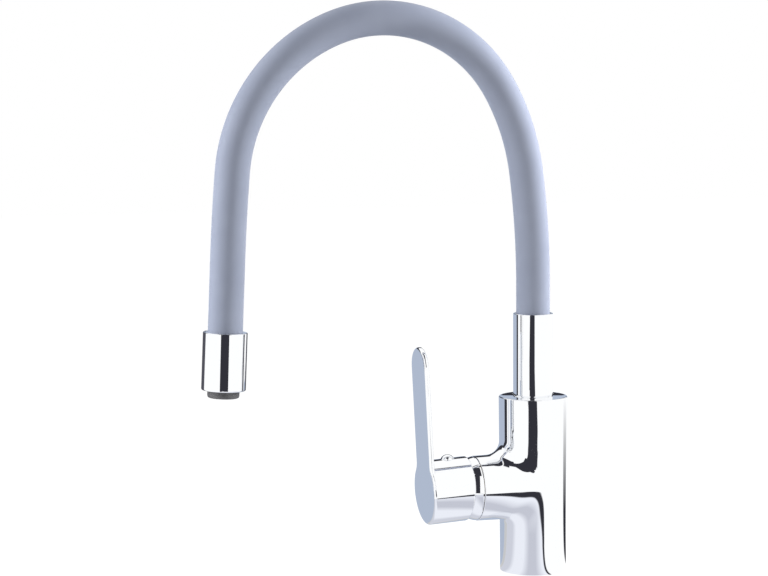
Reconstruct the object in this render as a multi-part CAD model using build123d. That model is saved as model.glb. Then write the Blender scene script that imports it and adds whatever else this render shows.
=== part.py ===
from build123d import *
from math import cos, radians, sin, sqrt
import os

# Single-lever mixer tap with a flexible silicone spout, in millimetres.
# Origin: centre of the base circle, on the deck. +Z up, spout and lever towards -X.

os.makedirs("parts", exist_ok=True)

# Body
BASE_R = 25.0
BODY_TOP_R = 26.0
BODY_HEIGHT = 133.0
BODY_EDGE = 0.8
BASE_CAVITY_R = 19.5
BASE_CAVITY_TOP = 28.0
CAVITY_FILLET = 2.5
BRANCH_Z = 65.0
BRANCH_ROOT_INSET = 0.29
BRANCH_TAPER = 0.8
BRANCH_ROOT_R = BASE_R + (BODY_TOP_R - BASE_R) * BRANCH_Z / BODY_HEIGHT - BRANCH_ROOT_INSET
BRANCH_R = BRANCH_ROOT_R - BRANCH_TAPER
BRANCH_END = 47.5
BRANCH_EDGE = 0.7
UPPER_BLEND = 11.0
LOWER_BLEND = 1.6

# Cartridge chamber and waterways in the body
CHAMBER_R = 20.0
CHAMBER_SEAT = 17.0
MOUTH_R = 20.6
MOUTH_DEPTH = 6.3
INLET_Y = 8.5
INLET_X = 3.0
INLET_THREAD_R = 4.5
INLET_THREAD_LENGTH = 12.0
WATERWAY_R = 3.5
OUTLET_WAY_X = 3.0
OUTLET_WAY_R = 4.0

# Deck seal and fixing kit
SEAL_GROOVE_INNER = 21.0
SEAL_GROOVE_OUTER = 23.4
SEAL_GROOVE_DEPTH = 2.4
SEAL_WIRE_R = 1.15
STUD_X = 11.0
STUD_R = 4.0
STUD_IN_BODY = 15.0
STUD_BELOW_DECK = 62.0
STUD_CHAMFER = 0.8
DECK_THICKNESS = 30.0
GASKET_R = 27.0
GASKET_THICKNESS = 3.0
PLATE_R = 26.0
PLATE_THICKNESS = 2.5
HOSE_SLOT_WIDTH = 30.0
HOSE_SLOT_END = 4.0
HOSE_SLOT_FILLET = 5.0
STUD_HOLE_CLEARANCE = 0.3
NUT_FLATS = 13.0
NUT_HEIGHT = 8.0
NUT_CHAMFER = 0.6

# Fits
THREAD_GAP = 0.05
RUNNING_GAP = 0.08
STATIC_GAP = 0.1
SOFT_GAP = 0.3

# Cartridge: ports, discs, carrier, housing
PORT_Y = 7.5
PORT_INLET_Z = 4.5
PORT_INLET_R = 3.0
PORT_OUTLET_Z = 8.0
PORT_OUTLET_R = 3.5
PORT_BASE_THICKNESS = 5.0
PORT_SEAL_R = 4.7
PORT_SEAL_DEPTH = 1.2
FIXED_DISC_R = 14.8
FIXED_DISC_THICKNESS = 3.0
MOVING_DISC_R = 12.2
MOVING_DISC_THICKNESS = 4.0
MIX_POCKET_WIDTH = 13.0
MIX_POCKET_TOP = 0.5
MIX_POCKET_BOTTOM = 11.0
MIX_POCKET_DEPTH = 2.4
MIX_POCKET_FILLET = 2.5
DISC_CARRIER_THICKNESS = 5.5
DISC_DRIVE_LUG = 0.8
HOUSING_INNER_R = 17.2
HOUSING_NECK_R = 16.5
HOUSING_TOP = 46.0
TURRET_FLANGE_R = 15.0
TURRET_FLANGE_THICKNESS = 4.0
TURRET_NECK_R = 11.0
TURRET_TOP = 52.0
STEM_SLOT_HEIGHT = 17.2

# Lever stem
LIFT_PIVOT = 43.5
STEM_WIDTH = 8.0
STEM_END = 75.0
STEM_ARM = 10.0
STEM_ARM_R = 2.4
STEM_BALL_R = 3.4
BALL_POCKET_GAP = 0.3
PIVOT_PIN_R = 1.5
PIVOT_PIN_LENGTH = 20.0

# Cartridge nut and dome ring
NUT_RING_R = 20.5
NUT_COLLAR_R = 18.0
NUT_COLLAR_TOP = 51.0
NUT_BORE_R = 16.8
SPANNER_SLOTS = 4
SPANNER_SLOT_WIDTH = 4.0
SPANNER_SLOT_DEPTH = 2.5
DOME_R = 24.6
DOME_FOOT_STEP = 0.6
DOME_TOP = 57.5
DOME_MOUTH_R = 13.0
DOME_FRONT_WALL = 2.0
DOME_SPLIT = 0.4

# Lever handle, drawn straight and then tilted about the point where its hub crosses the branch axis
HUB_TILT = 2.84
TILT_CENTRE = 65.0
FACE_X = 87.3
RIM_X = 55.05
RIM_SLANT = 5.3
RIM_EDGE = 0.8
SKIRT_CLEARANCE = 0.78
SKIRT_R = sqrt(DOME_R**2 - (RIM_X - LIFT_PIVOT) ** 2) + SKIRT_CLEARANCE
SKIRT_END = 62.0
HUB_WALL = 1.6
HUB_R = SKIRT_R + HUB_WALL
CAVITY_WALL = 2.9
HUB_CAVITY_R = HUB_R - CAVITY_WALL
HUB_CAVITY_END = 82.0
SOCKET_BOSS_R = 8.0
SOCKET_BOSS_START = 64.0
SCREW_X = 67.8
SCREW_BOSS_R = 6.6
LEVER_WIDTH = 32.0
LEVER_THICKNESS = 3.8
LEVER_TIP = 110.0
LEVER_FLARE = 9.0
FRONT_EDGE = 2.0
BACK_EDGE = 1.0

# Index plug and grub screws
PLUG_R = 5.3
PLUG_RECESS = 3.0
PLUG_EDGE = 0.3
PLUG_DOME = 3.4
GRUB_R = 2.5
GRUB_LENGTH = 8.0
GRUB_SOCKET_FLATS = 2.5
GRUB_SOCKET_DEPTH = 2.5
SCREW_DIMPLE = 0.6

# Spout socket in the body, swivel nipple and sleeve
SOCKET_R = 11.0
SOCKET_DEPTH = 37.0
SOCKET_FLOOR = BODY_HEIGHT - SOCKET_DEPTH
SLEEVE_SEAT = 6.0
SLEEVE_R = 15.0
SLEEVE_WALL = 1.8
SLEEVE_RISE = 63.0
SLEEVE_TOP = BODY_HEIGHT + SLEEVE_RISE
SLEEVE_EDGE = 0.5
SLIP_RING_THICKNESS = 1.2
NIPPLE_BORE_R = 4.0
FLANGE_BELOW_HOSE = 3.0
BARB_IN_HOSE = 12.0
BARB_R = 4.7
BARB_RIDGE = 0.2
BARB_RIDGES = 4
RING_GROOVE_WIDTH = 3.0
RING_GROOVE_FLOOR = 8.4
RING_WIRE_R = 1.25
RING_GROOVE_DEPTHS = (30.0, 22.0)
RETAINER_DEPTH = 13.0
RETAINER_Z = BODY_HEIGHT - RETAINER_DEPTH
RETAINER_GROOVE_WIDTH = 4.2
RETAINER_GROOVE_FLOOR = 9.2
RETAINER_TIP_R = 1.75
RETAINER_TIP_LENGTH = 2.4
RETAINER_SINK = 7.5

# Flexible spout
HOSE_R = 12.7
HOSE_BORE_R = 9.3
HOSE_FOOT_RISE = 13.0
HOSE_FOOT = BODY_HEIGHT + HOSE_FOOT_RISE
GOOSENECK_R = 9.0
GOOSENECK_BORE_R = 7.4
WATER_HOSE_R = 7.0
WATER_HOSE_BORE_R = 5.0
FERRULE_R = 8.6
FERRULE_LENGTH = 12.0
RISER_SHOWN = 20.5
RISER_TOP = SLEEVE_TOP + RISER_SHOWN
ARCH_RADII = (669.2, 168.6, 104.2, 122.3, 1500.0)
ARCH_TURNS = (7.39, 22.77, 80.69, 64.1, 2.43)
DROP_LENGTH = 52.2

# Outlet cup and aerator, measured down from the cup's top rim
CUP_R = 16.2
CUP_WALL = 1.6
CUP_LENGTH = 42.3
CUP_LIP_R = 13.0
CUP_LIP_HEIGHT = 1.2
CUP_EDGE = 1.0
HOSE_IN_CUP = 12.0
OUTLET_FLANGE_TOP = 15.0
OUTLET_FLANGE_BOTTOM = 21.0
OUTLET_BARB_LENGTH = 12.5
AERATOR_TOP = 25.0
AERATOR_R = 11.7
AERATOR_BORE_R = 9.2
AERATOR_PROUD = 5.6
AERATOR_EDGE = 1.8
AERATOR_LEDGE = 1.0
AERATOR_GASKET_THICKNESS = 1.8
MESH_THICKNESS = 5.0
MESH_RECESS = 1.4
MESH_CELL = 1.9
MESH_WALL = 0.55
MESH_RINGS = 4

AXIS_BRANCH = Axis((0, 0, BRANCH_Z), (1, 0, 0))


def save(shape, node):
    export_step(shape, f"parts/{node}.step")


def turned(points):
    """Solid of revolution about Z from (radius, height) corners."""
    outline = Polyline([(r, 0, z) for r, z in points], close=True)
    return revolve(make_face(outline), Axis.Z, 360)


def turned_on_branch(points):
    """Solid of revolution about the branch axis from (distance in front of the body axis, radius) corners."""
    outline = Polyline([(-d, 0, BRANCH_Z + r) for d, r in points], close=True)
    return revolve(make_face(outline), AXIS_BRANCH, 360)


def rod(radius, start, end):
    """Cylinder between two points."""
    start, end = Vector(start), Vector(end)
    plane = Plane(start, z_dir=end - start)
    return extrude(plane * Circle(radius), (end - start).length)


def hex_socket(flats, depth, start, direction):
    """Hexagonal key hole, cut from a face into the screw."""
    plane = Plane(start, z_dir=direction)
    return extrude(plane * RegularPolygon(flats / 2, 6, major_radius=False), depth)


# Spout path

def spout_path():
    """Centreline of the flexible spout: riser, arcs of the arch and the drop to the outlet."""
    riser = Line((0, HOSE_FOOT), (0, RISER_TOP))
    runs = [riser]
    for radius, turn in zip(ARCH_RADII, ARCH_TURNS):
        last = runs[-1]
        runs.append(JernArc(last @ 1, last % 1, radius, turn))
    last = runs[-1]
    runs.append(PolarLine(last @ 1, DROP_LENGTH + HOSE_IN_CUP, direction=last % 1))
    return Plane.XZ * Wire([edge for run in runs for edge in run.edges()])


def drop_direction():
    """Unit vector up along the drop, from the outlet towards the arch."""
    lean = radians(sum(ARCH_TURNS) - 180)
    return Vector(-sin(lean), 0, cos(lean))


PATH = spout_path()
UP_DROP = drop_direction()
CUP_TOP = PATH @ 1 + UP_DROP * HOSE_IN_CUP
CUP_PLANE = Plane(CUP_TOP, x_dir=(0, 1, 0), z_dir=UP_DROP)


def hose_layer(outer, inner, skip_foot, skip_end):
    """One tubular layer of the spout, swept along the centreline between two trimmed ends."""
    length = PATH.length
    trimmed = PATH.trim(skip_foot / length, 1 - skip_end / length)
    start = Plane(trimmed @ 0, z_dir=trimmed % 0)
    ring = start * (Circle(outer) - Circle(inner))
    return sweep(ring, trimmed)


# Body

def body_form():
    """Outer form of the casting: tapered upright, front branch and the blend between them."""
    upright = turned([(0, 0), (BASE_R, 0), (BODY_TOP_R, BODY_HEIGHT), (0, BODY_HEIGHT)])
    branch = turned_on_branch([(0, 0), (0, BRANCH_ROOT_R), (BRANCH_END, BRANCH_R), (BRANCH_END, 0)])
    plain = upright + branch
    upper = fillet(crease_edges(plain), UPPER_BLEND)
    lower = fillet(crease_edges(plain), LOWER_BLEND)
    above = Pos(0, 0, BRANCH_Z + BODY_HEIGHT) * Box(4 * BODY_HEIGHT, 4 * BODY_HEIGHT, 2 * BODY_HEIGHT)
    form = (upper & above) + (lower - above)
    top_rim = form.edges().group_by(Axis.Z)[-1]
    form = fillet(top_rim, BODY_EDGE)
    mouth = form.edges().group_by(Axis.X)[0]
    return fillet(mouth, BRANCH_EDGE)


def crease_edges(form):
    """Edge where the branch meets the upright."""
    return form.edges().filter_by(GeomType.BSPLINE)


def body_casting():
    form = body_form()
    cavity = turned([(0, -1), (BASE_CAVITY_R, -1), (BASE_CAVITY_R, BASE_CAVITY_TOP), (0, BASE_CAVITY_TOP)])
    cavity = fillet(cavity.edges().group_by(Axis.Z)[-1], CAVITY_FILLET)
    form -= cavity
    form -= turned([
        (SEAL_GROOVE_INNER, -1),
        (SEAL_GROOVE_OUTER, -1),
        (SEAL_GROOVE_OUTER, SEAL_GROOVE_DEPTH),
        (SEAL_GROOVE_INNER, SEAL_GROOVE_DEPTH),
    ])
    form -= turned_on_branch([
        (CHAMBER_SEAT, 0),
        (CHAMBER_SEAT, CHAMBER_R),
        (BRANCH_END - MOUTH_DEPTH, CHAMBER_R),
        (BRANCH_END - MOUTH_DEPTH, MOUTH_R),
        (BRANCH_END + 1, MOUTH_R),
        (BRANCH_END + 1, 0),
    ])
    seat_bottom = BODY_HEIGHT - SLEEVE_SEAT
    form -= turned([
        (0, SOCKET_FLOOR),
        (SOCKET_R, SOCKET_FLOOR),
        (SOCKET_R, seat_bottom),
        (SLEEVE_R + RUNNING_GAP, seat_bottom),
        (SLEEVE_R + RUNNING_GAP, BODY_HEIGHT + 1),
        (0, BODY_HEIGHT + 1),
    ])
    inlet_z = BRANCH_Z + PORT_INLET_Z
    for side in (-1, 1):
        y = side * INLET_Y
        thread_top = BASE_CAVITY_TOP + INLET_THREAD_LENGTH
        form -= rod(INLET_THREAD_R, (-INLET_X, y, BASE_CAVITY_TOP - 1), (-INLET_X, y, thread_top))
        form -= rod(WATERWAY_R, (-INLET_X, y, BASE_CAVITY_TOP), (-INLET_X, y, inlet_z + PORT_INLET_R))
        port_y = side * PORT_Y
        form -= rod(PORT_INLET_R, (-CHAMBER_SEAT - 1, port_y, inlet_z), (-INLET_X + 2, port_y, inlet_z))
    outlet_z = BRANCH_Z - PORT_OUTLET_Z
    form -= rod(PORT_OUTLET_R, (-CHAMBER_SEAT - 1, 0, outlet_z), (OUTLET_WAY_X, 0, outlet_z))
    form -= rod(OUTLET_WAY_R, (OUTLET_WAY_X, 0, outlet_z - PORT_OUTLET_R), (OUTLET_WAY_X, 0, SOCKET_FLOOR + 1))
    stud_hole_top = BASE_CAVITY_TOP + STUD_IN_BODY + 1
    form -= rod(STUD_R + THREAD_GAP, (STUD_X, 0, BASE_CAVITY_TOP - 1), (STUD_X, 0, stud_hole_top))
    form -= rod(GRUB_R + THREAD_GAP, (SOCKET_R - 1, 0, RETAINER_Z), (BODY_TOP_R + 1, 0, RETAINER_Z))
    return form


def base_o_ring():
    middle = (SEAL_GROOVE_INNER + SEAL_GROOVE_OUTER) / 2
    return Pos(0, 0, SEAL_GROOVE_DEPTH / 2) * Torus(middle, SEAL_WIRE_R)


# Deck fixing

def fixing_stud():
    stud = rod(STUD_R, (STUD_X, 0, -STUD_BELOW_DECK), (STUD_X, 0, BASE_CAVITY_TOP + STUD_IN_BODY))
    ends = stud.edges().filter_by(GeomType.CIRCLE)
    return chamfer(ends, STUD_CHAMFER)


def horseshoe(radius, thickness, top):
    """Clamp piece open to the front for the supply hoses, with a hole for the stud."""
    slot_middle = HOSE_SLOT_END - radius
    slot = Pos(slot_middle, 0) * RectangleRounded(2 * radius, HOSE_SLOT_WIDTH, HOSE_SLOT_FILLET)
    outline = Circle(radius) - slot - Pos(STUD_X, 0) * Circle(STUD_R + STUD_HOLE_CLEARANCE)
    return Pos(0, 0, top - thickness) * extrude(outline, thickness)


def stud_nut():
    top = -DECK_THICKNESS - GASKET_THICKNESS - PLATE_THICKNESS
    nut = Pos(STUD_X, 0, top - NUT_HEIGHT) * extrude(RegularPolygon(NUT_FLATS / 2, 6, major_radius=False), NUT_HEIGHT)
    nut = chamfer(nut.edges().group_by(Axis.Z)[0], NUT_CHAMFER)
    return nut - rod(STUD_R + THREAD_GAP, (STUD_X, 0, top - NUT_HEIGHT - 1), (STUD_X, 0, top + 1))


# Cartridge

BASE_FRONT = CHAMBER_SEAT + PORT_BASE_THICKNESS
FIXED_FRONT = BASE_FRONT + FIXED_DISC_THICKNESS
MOVING_FRONT = FIXED_FRONT + MOVING_DISC_THICKNESS
CARRIER_FRONT = MOVING_FRONT + DISC_CARRIER_THICKNESS
TURRET_FOOT = CARRIER_FRONT + 0.5
TURRET_SHOULDER = TURRET_FOOT + TURRET_FLANGE_THICKNESS
SHELL_R = CHAMBER_R - STATIC_GAP


def port_places():
    """(y, height above the branch axis, radius) of the two inlet ports and the outlet port."""
    return [
        (-PORT_Y, PORT_INLET_Z, PORT_INLET_R),
        (PORT_Y, PORT_INLET_Z, PORT_INLET_R),
        (0, -PORT_OUTLET_Z, PORT_OUTLET_R),
    ]


def ports(start, end, extra=0.0):
    """Port holes through a plate of the cartridge, as one cutter."""
    return [
        rod(radius + extra, (-start, y, BRANCH_Z + z), (-end, y, BRANCH_Z + z))
        for y, z, radius in port_places()
    ]


def disc(radius, back, front):
    """Round plate on the branch axis."""
    return rod(radius, (-back, 0, BRANCH_Z), (-front, 0, BRANCH_Z))


def cartridge_base():
    plate = disc(SHELL_R, CHAMBER_SEAT, BASE_FRONT)
    for cutter in ports(CHAMBER_SEAT - 1, BASE_FRONT + 1):
        plate -= cutter
    for y, z, _ in port_places():
        centre = BRANCH_Z + z
        plate -= rod(PORT_SEAL_R, (-CHAMBER_SEAT + 1, y, centre), (-CHAMBER_SEAT - PORT_SEAL_DEPTH, y, centre))
    return plate


def port_seals():
    seals = []
    for y, z, radius in port_places():
        centre = BRANCH_Z + z
        back, front = -CHAMBER_SEAT, -CHAMBER_SEAT - PORT_SEAL_DEPTH
        seal = rod(PORT_SEAL_R - STATIC_GAP, (back, y, centre), (front, y, centre))
        seals.append(seal - rod(radius + STATIC_GAP, (back + 1, y, centre), (front - 1, y, centre)))
    return Compound(children=[solid for seal in seals for solid in seal.solids()])


def fixed_disc():
    plate = disc(FIXED_DISC_R, BASE_FRONT, FIXED_FRONT)
    for cutter in ports(BASE_FRONT - 1, FIXED_FRONT + 1):
        plate -= cutter
    return plate


def mixing_pocket():
    """Blind pocket in the sliding disc that joins the inlets to the outlet when it moves up."""
    height = MIX_POCKET_TOP + MIX_POCKET_BOTTOM
    middle = BRANCH_Z + (MIX_POCKET_TOP - MIX_POCKET_BOTTOM) / 2
    plane = Plane((-FIXED_FRONT, 0, middle), x_dir=(0, 1, 0), z_dir=(-1, 0, 0))
    return extrude(plane * RectangleRounded(MIX_POCKET_WIDTH, height, MIX_POCKET_FILLET), MIX_POCKET_DEPTH)


def moving_disc():
    return disc(MOVING_DISC_R, FIXED_FRONT, MOVING_FRONT) - mixing_pocket()


def disc_carrier():
    carrier = disc(MOVING_DISC_R, MOVING_FRONT, CARRIER_FRONT)
    pocket = STEM_BALL_R + BALL_POCKET_GAP
    floor = LIFT_PIVOT - STEM_ARM - STEM_BALL_R - BALL_POCKET_GAP
    plane = Plane((-CARRIER_FRONT - 1, 0, BRANCH_Z), x_dir=(0, 1, 0), z_dir=(1, 0, 0))
    return carrier - extrude(plane * RectangleRounded(2 * pocket, 2 * pocket, 1), CARRIER_FRONT + 1 - floor)


def cartridge_housing():
    shoulder = BRANCH_END - MOUTH_DEPTH
    roof = TURRET_SHOULDER + 2 * RUNNING_GAP
    flange_r = TURRET_FLANGE_R + SOFT_GAP
    return turned_on_branch([
        (BASE_FRONT, FIXED_DISC_R + STATIC_GAP),
        (BASE_FRONT, SHELL_R),
        (shoulder, SHELL_R),
        (shoulder, HOUSING_NECK_R),
        (HOUSING_TOP, HOUSING_NECK_R),
        (HOUSING_TOP, TURRET_NECK_R + RUNNING_GAP),
        (roof, TURRET_NECK_R + RUNNING_GAP),
        (roof, flange_r),
        (TURRET_FOOT - SOFT_GAP, flange_r),
        (TURRET_FOOT - SOFT_GAP, HOUSING_INNER_R),
        (FIXED_FRONT, HOUSING_INNER_R),
        (FIXED_FRONT, FIXED_DISC_R + STATIC_GAP),
    ])


def stem_carrier():
    turret = disc(TURRET_FLANGE_R, TURRET_FOOT, TURRET_SHOULDER) + disc(TURRET_NECK_R, TURRET_SHOULDER, TURRET_TOP)
    middle = (TURRET_FOOT + TURRET_TOP) / 2
    slot_width = STEM_WIDTH + 2 * SOFT_GAP
    turret -= Pos(-middle, 0, BRANCH_Z) * Box(TURRET_TOP - TURRET_FOOT + 2, slot_width, STEM_SLOT_HEIGHT)
    half_pin = PIVOT_PIN_LENGTH / 2 + 0.2
    return turret - rod(PIVOT_PIN_R, (-LIFT_PIVOT, -half_pin, BRANCH_Z), (-LIFT_PIVOT, half_pin, BRANCH_Z))


def stem_pivot_pin():
    half_pin = PIVOT_PIN_LENGTH / 2
    return rod(PIVOT_PIN_R, (-LIFT_PIVOT, -half_pin, BRANCH_Z), (-LIFT_PIVOT, half_pin, BRANCH_Z))


def cartridge_stem():
    ball_x = -(LIFT_PIVOT - STEM_ARM)
    neck_x = -(LIFT_PIVOT - STEM_WIDTH / 2)
    bar_length = STEM_END + neck_x
    bar = Pos((-STEM_END + neck_x) / 2, 0, BRANCH_Z) * Box(bar_length, STEM_WIDTH, STEM_WIDTH)
    bar = chamfer(bar.edges().group_by(Axis.X)[0], 0.8)
    arm = rod(STEM_ARM_R, (neck_x - 1, 0, BRANCH_Z), (ball_x, 0, BRANCH_Z))
    stem = bar + arm + Pos(ball_x, 0, BRANCH_Z) * Sphere(STEM_BALL_R)
    hole_r = PIVOT_PIN_R + THREAD_GAP
    stem -= rod(hole_r, (-LIFT_PIVOT, -STEM_WIDTH, BRANCH_Z), (-LIFT_PIVOT, STEM_WIDTH, BRANCH_Z))
    top = STEM_WIDTH / 2
    dimple = rod(GRUB_R + SOFT_GAP, (-SCREW_X, 0, BRANCH_Z + top - SCREW_DIMPLE), (-SCREW_X, 0, BRANCH_Z + STEM_WIDTH))
    return stem - tilted(dimple)


def cartridge_nut():
    back = BRANCH_END - MOUTH_DEPTH
    shoulder = BRANCH_END - 0.5
    nut = turned_on_branch([
        (back, NUT_BORE_R),
        (back, NUT_RING_R),
        (shoulder, NUT_RING_R),
        (shoulder, NUT_COLLAR_R),
        (NUT_COLLAR_TOP, NUT_COLLAR_R),
        (NUT_COLLAR_TOP, NUT_BORE_R - 2),
        (HOUSING_TOP + STATIC_GAP, NUT_BORE_R - 2),
        (HOUSING_TOP + STATIC_GAP, NUT_BORE_R),
    ])
    for turn in range(SPANNER_SLOTS):
        slot = Pos(-NUT_COLLAR_TOP, NUT_BORE_R, 0) * Box(2 * SPANNER_SLOT_DEPTH, 2 * SPANNER_SLOT_WIDTH, SPANNER_SLOT_WIDTH)
        nut -= Pos(0, 0, BRANCH_Z) * Rot(turn * 360 / SPANNER_SLOTS, 0, 0) * slot
    return nut


def bonnet_ring():
    """Dome that covers the cartridge nut, part of a sphere about the lever's pivot."""
    foot = BRANCH_END + DOME_SPLIT
    inner = NUT_COLLAR_R + STATIC_GAP
    step = NUT_COLLAR_TOP + STATIC_GAP
    foot_r = DOME_R - DOME_FOOT_STEP
    dome_start = LIFT_PIVOT + sqrt(DOME_R**2 - foot_r**2)
    front_r = sqrt(DOME_R**2 - (DOME_TOP - LIFT_PIVOT) ** 2)
    start = max(dome_start, foot + 0.4)
    start_r = sqrt(DOME_R**2 - (start - LIFT_PIVOT) ** 2)
    middle = (start + DOME_TOP) / 2
    middle_r = sqrt(DOME_R**2 - (middle - LIFT_PIVOT) ** 2)

    def at(distance, radius):
        return (-distance, 0, BRANCH_Z + radius)

    outline = [
        Line(at(foot, inner), at(foot, start_r)),
        Line(at(foot, start_r), at(start, start_r)),
        ThreePointArc(at(start, start_r), at(middle, middle_r), at(DOME_TOP, front_r)),
        Line(at(DOME_TOP, front_r), at(DOME_TOP, DOME_MOUTH_R)),
        Line(at(DOME_TOP, DOME_MOUTH_R), at(DOME_TOP - DOME_FRONT_WALL, DOME_MOUTH_R)),
        Line(at(DOME_TOP - DOME_FRONT_WALL, DOME_MOUTH_R), at(step, inner)),
        Line(at(step, inner), at(foot, inner)),
    ]
    return revolve(make_face(Wire(outline)), AXIS_BRANCH, 360)


# Lever handle

HUB_TOP = BRANCH_Z + HUB_R


def tilted(shape):
    """A handle piece turned from its straight drawing position to the tilt of the hub."""
    return shape.rotate(Axis((-TILT_CENTRE, 0, BRANCH_Z), (0, 1, 0)), -HUB_TILT)


def lever_plate():
    """Front plate of the handle: hub face and paddle in one outline, with flared corners between them."""
    half = LEVER_WIDTH / 2
    straight_top = LEVER_TIP - half
    outline = Circle(HUB_R) + Pos(0, straight_top / 2) * Rectangle(LEVER_WIDTH, straight_top)
    corners = outline.vertices().filter_by_position(Axis.Y, half / 2, HUB_R)
    outline = fillet(corners, LEVER_FLARE) + Pos(0, straight_top) * Circle(half)
    plane = Plane((-FACE_X, 0, BRANCH_Z), x_dir=(0, 1, 0), z_dir=(1, 0, 0))
    plate = extrude(plane * outline, LEVER_THICKNESS)
    plate = fillet(plate.faces().sort_by(Axis.X)[-1].edges(), BACK_EDGE)
    return fillet(plate.faces().sort_by(Axis.X)[0].edges(), FRONT_EDGE)


def hub():
    """Round hub with its slanted rim, behind the front plate."""
    reach = 3 * HUB_R
    body = disc(HUB_R, RIM_X - 5, FACE_X - FRONT_EDGE - THREAD_GAP)
    behind_rim = Pos(-RIM_X, 0, BRANCH_Z) * Rot(0, RIM_SLANT, 0) * Pos(reach / 2, 0, 0) * Box(reach, reach, reach)
    body -= behind_rim
    return fillet(body.edges().sort_by(Axis.X)[-1], RIM_EDGE)


def lever_handle():
    handle = hub() + lever_plate()
    handle -= turned_on_branch([
        (RIM_X - 5, 0),
        (RIM_X - 5, SKIRT_R),
        (SKIRT_END, SKIRT_R),
        (SKIRT_END + 2, HUB_CAVITY_R),
        (HUB_CAVITY_END, HUB_CAVITY_R),
        (HUB_CAVITY_END, 0),
    ])
    handle += rod(SCREW_BOSS_R, (-SCREW_X, 0, BRANCH_Z), (-SCREW_X, 0, HUB_TOP - HUB_R + HUB_CAVITY_R + 0.5))
    handle = tilted(handle)
    handle += disc(SOCKET_BOSS_R, SOCKET_BOSS_START, HUB_CAVITY_END + 1)
    socket = STEM_WIDTH + 2 * THREAD_GAP
    socket_end = STEM_END + 0.5
    socket_length = socket_end - SOCKET_BOSS_START + 6
    handle -= Pos(-socket_end + socket_length / 2, 0, BRANCH_Z) * Box(socket_length, socket, socket)
    recess_floor = HUB_TOP - PLUG_RECESS
    handle -= tilted(rod(GRUB_R + THREAD_GAP, (-SCREW_X, 0, BRANCH_Z), (-SCREW_X, 0, HUB_TOP)))
    return handle - tilted(rod(PLUG_R + THREAD_GAP, (-SCREW_X, 0, recess_floor), (-SCREW_X, 0, HUB_TOP + 1)))


def grub_screw(start, direction):
    """Socket set screw, from its tip along a direction."""
    start, direction = Vector(start), Vector(direction)
    end = start + direction * GRUB_LENGTH
    screw = rod(GRUB_R, start, end)
    return screw - hex_socket(GRUB_SOCKET_FLATS, GRUB_SOCKET_DEPTH, end, -direction)


def handle_grub_screw():
    tip = BRANCH_Z + STEM_WIDTH / 2 - SCREW_DIMPLE + SOFT_GAP
    return tilted(grub_screw((-SCREW_X, 0, tip), (0, 0, 1)))


def index_plug():
    foot = HUB_TOP - PLUG_RECESS
    shoulder = HUB_TOP - PLUG_EDGE
    plug = rod(PLUG_R, (-SCREW_X, 0, foot), (-SCREW_X, 0, shoulder))
    sphere_r = (PLUG_R**2 + PLUG_DOME**2) / (2 * PLUG_DOME)
    ball = Pos(-SCREW_X, 0, shoulder + PLUG_DOME - sphere_r) * Sphere(sphere_r)
    above = Pos(-SCREW_X, 0, shoulder + PLUG_R) * Box(2 * sphere_r, 2 * sphere_r, 2 * PLUG_R)
    return tilted(plug + (ball & above))


# Spout swivel

def slip_ring():
    seat = BODY_HEIGHT - SLEEVE_SEAT
    inner = SOCKET_R + SOFT_GAP
    outer = SLEEVE_R - SOFT_GAP
    top = seat + SLIP_RING_THICKNESS
    return turned([(inner, seat), (outer, seat), (outer, top), (inner, top)])


SLEEVE_FOOT = BODY_HEIGHT - SLEEVE_SEAT + SLIP_RING_THICKNESS + STATIC_GAP
SLEEVE_BORE_R = SLEEVE_R - SLEEVE_WALL


def spout_sleeve():
    sleeve = turned([
        (SLEEVE_BORE_R, SLEEVE_FOOT),
        (SLEEVE_R, SLEEVE_FOOT),
        (SLEEVE_R, SLEEVE_TOP),
        (SLEEVE_BORE_R, SLEEVE_TOP),
    ])
    return fillet(sleeve.edges().group_by(Axis.Z)[-1], SLEEVE_EDGE)


def barbed_tail(foot, length):
    """Corners of a hose barb's outer line, from its foot upwards."""
    pitch = length / BARB_RIDGES
    corners = []
    for ridge in range(BARB_RIDGES):
        z = foot + ridge * pitch
        corners += [(BARB_R - BARB_RIDGE, z), (BARB_R, z + 0.2 * pitch)]
    return corners + [(BARB_R - BARB_RIDGE, foot + length)]


RING_GROOVE_HEIGHTS = [BODY_HEIGHT - depth for depth in RING_GROOVE_DEPTHS]


def spout_nipple():
    stem_r = SOCKET_R - THREAD_GAP
    flange_top = HOSE_FOOT - FLANGE_BELOW_HOSE
    barb_top = HOSE_FOOT + BARB_IN_HOSE
    half_ring = RING_GROOVE_WIDTH / 2
    half_keep = RETAINER_GROOVE_WIDTH / 2
    corners = [(NIPPLE_BORE_R, SOCKET_FLOOR + 1), (stem_r, SOCKET_FLOOR + 1)]
    for height in RING_GROOVE_HEIGHTS:
        corners += [(stem_r, height - half_ring), (RING_GROOVE_FLOOR, height - half_ring)]
        corners += [(RING_GROOVE_FLOOR, height + half_ring), (stem_r, height + half_ring)]
    corners += [(stem_r, RETAINER_Z - half_keep), (RETAINER_GROOVE_FLOOR, RETAINER_Z - half_keep)]
    corners += [(RETAINER_GROOVE_FLOOR, RETAINER_Z + half_keep), (stem_r, RETAINER_Z + half_keep)]
    flange_foot = SLEEVE_FOOT + 1
    flange_r = SLEEVE_BORE_R - THREAD_GAP
    corners += [(stem_r, flange_foot), (flange_r, flange_foot), (flange_r, flange_top)]
    corners += barbed_tail(flange_top, barb_top - flange_top)
    corners += [(NIPPLE_BORE_R, barb_top)]
    return turned(corners)


def spout_o_rings():
    ring = Torus(RING_GROOVE_FLOOR + RING_WIRE_R + 0.02, RING_WIRE_R)
    return Compound(children=[(Pos(0, 0, height) * ring).solid() for height in RING_GROOVE_HEIGHTS])


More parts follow.
